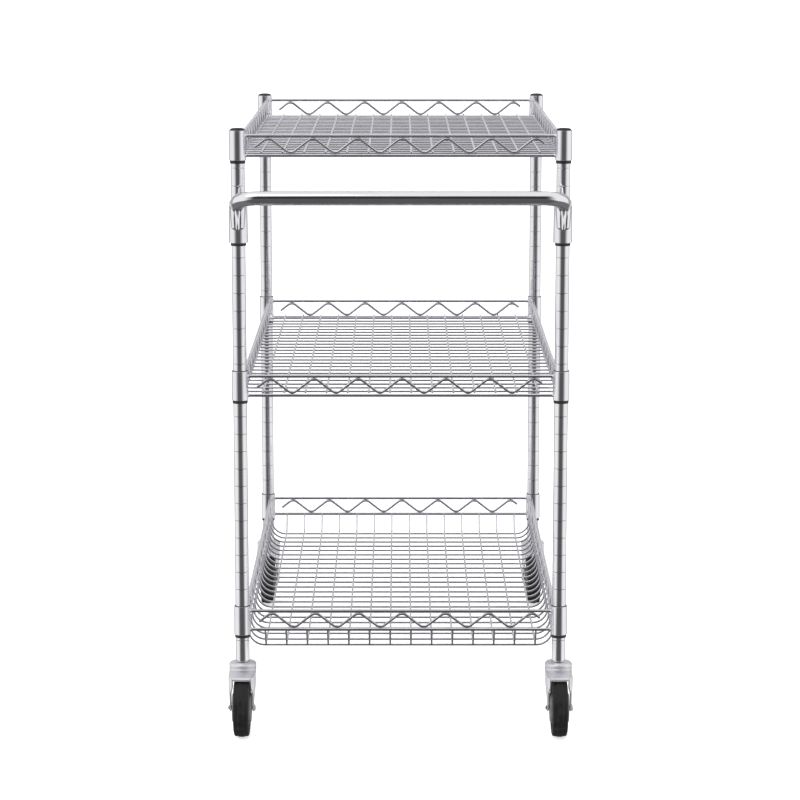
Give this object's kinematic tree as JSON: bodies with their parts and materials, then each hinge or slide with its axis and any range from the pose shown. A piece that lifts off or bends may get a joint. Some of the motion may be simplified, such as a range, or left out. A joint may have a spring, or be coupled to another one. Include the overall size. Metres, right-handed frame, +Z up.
{
  "type": "wire shelf cart",
  "caption": "Chromed wire utility cart: tray shelves above a shallow wire basket on grooved tube posts, with a push handle and swivel casters.",
  "frame": {"origin": "on the floor, below the middle of the cart's box", "axes": "+Z up from the floor; the push handle is at the -Y end; X runs across the cart"},
  "size_m": [0.472, 0.8266, 0.8295],
  "materials": {
    "chrome_tube": "bright chrome plate",
    "chrome_wire": "chrome-plated welded wire",
    "zinc_steel": "zinc-plated pressed steel",
    "dark_steel": "blackened bolt",
    "black_plastic": "moulded, satin",
    "tyre_rubber": "matte",
    "wheel_plastic": "moulded, satin"
  },
  "bodies": {
    "cart": {"post_front_left": "chrome_tube", "post_front_right": "chrome_tube", "post_rear_left": "chrome_tube", "post_rear_right": "chrome_tube", "post_cap_front_left": "black_plastic", "post_cap_front_right": "black_plastic", "post_cap_rear_left": "black_plastic", "post_cap_rear_right": "black_plastic", "top_shelf_frame": "chrome_wire", "top_shelf_deck": "chrome_wire", "middle_shelf_frame": "chrome_wire", "middle_shelf_deck": "chrome_wire", "basket_frame": "chrome_wire", "basket_wires": "chrome_wire", "sleeve_top_shelf_front_left": "black_plastic", "sleeve_top_shelf_front_right": "black_plastic", "sleeve_top_shelf_rear_left": "black_plastic", "sleeve_top_shelf_rear_right": "black_plastic", "sleeve_middle_shelf_front_left": "black_plastic", "sleeve_middle_shelf_front_right": "black_plastic", "sleeve_middle_shelf_rear_left": "black_plastic", "sleeve_middle_shelf_rear_right": "black_plastic", "sleeve_basket_front_left": "black_plastic", "sleeve_basket_front_right": "black_plastic", "sleeve_basket_rear_left": "black_plastic", "sleeve_basket_rear_right": "black_plastic", "push_handle": "chrome_tube", "handle_collar_left": "chrome_tube", "handle_collar_right": "chrome_tube", "sleeve_handle_left": "black_plastic", "sleeve_handle_right": "black_plastic", "caster_socket_front_left": "zinc_steel", "caster_socket_front_right": "zinc_steel", "caster_socket_rear_left": "zinc_steel", "caster_socket_rear_right": "zinc_steel", "caster_stem_front_left": "zinc_steel", "caster_stem_front_right": "zinc_steel", "caster_stem_rear_left": "zinc_steel", "caster_stem_rear_right": "zinc_steel"},
    "caster_front_left": {"caster_fork_front_left": "zinc_steel", "axle_bolt_front_left": "dark_steel"},
    "wheel_front_left": {"tyre_front_left": "tyre_rubber", "wheel_core_front_left": "wheel_plastic"},
    "caster_front_right": {"caster_fork_front_right": "zinc_steel", "axle_bolt_front_right": "dark_steel"},
    "wheel_front_right": {"tyre_front_right": "tyre_rubber", "wheel_core_front_right": "wheel_plastic"},
    "caster_rear_left": {"caster_fork_rear_left": "zinc_steel", "axle_bolt_rear_left": "dark_steel"},
    "wheel_rear_left": {"tyre_rear_left": "tyre_rubber", "wheel_core_rear_left": "wheel_plastic"},
    "caster_rear_right": {"caster_fork_rear_right": "zinc_steel", "axle_bolt_rear_right": "dark_steel"},
    "wheel_rear_right": {"tyre_rear_right": "tyre_rubber", "wheel_core_rear_right": "wheel_plastic"}
  },
  "joints": [
    {"name": "swivel_front_left", "type": "hinge", "parent": "cart", "child": "caster_front_left", "pos_m": [-0.217, -0.3437, 0.09], "axis": [0, 0, 1], "continuous": true},
    {"name": "roll_front_left", "type": "hinge", "parent": "caster_front_left", "child": "wheel_front_left", "pos_m": [-0.217, -0.3733, 0.04], "axis": [1, 0, 0], "continuous": true},
    {"name": "swivel_front_right", "type": "hinge", "parent": "cart", "child": "caster_front_right", "pos_m": [0.217, -0.3437, 0.09], "axis": [0, 0, 1], "continuous": true},
    {"name": "roll_front_right", "type": "hinge", "parent": "caster_front_right", "child": "wheel_front_right", "pos_m": [0.217, -0.3733, 0.04], "axis": [1, 0, 0], "continuous": true},
    {"name": "swivel_rear_left", "type": "hinge", "parent": "cart", "child": "caster_rear_left", "pos_m": [-0.217, 0.3943, 0.09], "axis": [0, 0, 1], "continuous": true},
    {"name": "roll_rear_left", "type": "hinge", "parent": "caster_rear_left", "child": "wheel_rear_left", "pos_m": [-0.217, 0.3647, 0.04], "axis": [1, 0, 0], "continuous": true},
    {"name": "swivel_rear_right", "type": "hinge", "parent": "cart", "child": "caster_rear_right", "pos_m": [0.217, 0.3943, 0.09], "axis": [0, 0, 1], "continuous": true},
    {"name": "roll_rear_right", "type": "hinge", "parent": "caster_rear_right", "child": "wheel_rear_right", "pos_m": [0.217, 0.3647, 0.04], "axis": [1, 0, 0], "continuous": true}
  ]
}
